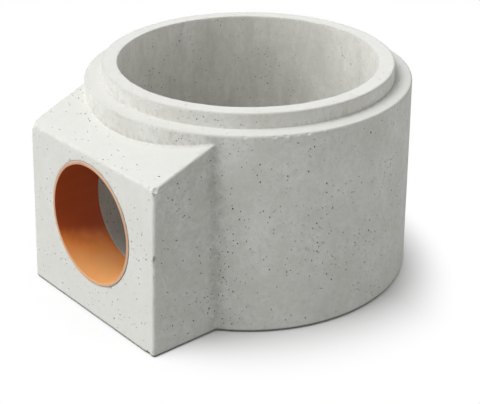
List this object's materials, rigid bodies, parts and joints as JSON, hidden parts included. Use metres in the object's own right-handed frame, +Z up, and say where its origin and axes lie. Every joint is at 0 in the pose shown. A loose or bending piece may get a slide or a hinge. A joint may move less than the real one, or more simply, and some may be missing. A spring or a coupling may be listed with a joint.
{
  "type": "concrete gully pot",
  "caption": "Round cast concrete gully pot with floor, raised joint ring at the rim and a side outlet block holding a plastic pipe sleeve.",
  "frame": {"origin": "on the pot's axis at the underside of the base", "axes": "+Z up along the pot's axis, -Y towards the outlet block, X across"},
  "size_m": [0.5818, 0.6468, 0.375],
  "materials": {
    "concrete": "as cast, matte",
    "sleeve_plastic": "smooth extruded"
  },
  "bodies": {
    "root": {"gully_body": "concrete", "outlet_sleeve": "sleeve_plastic"}
  },
  "joints": []
}
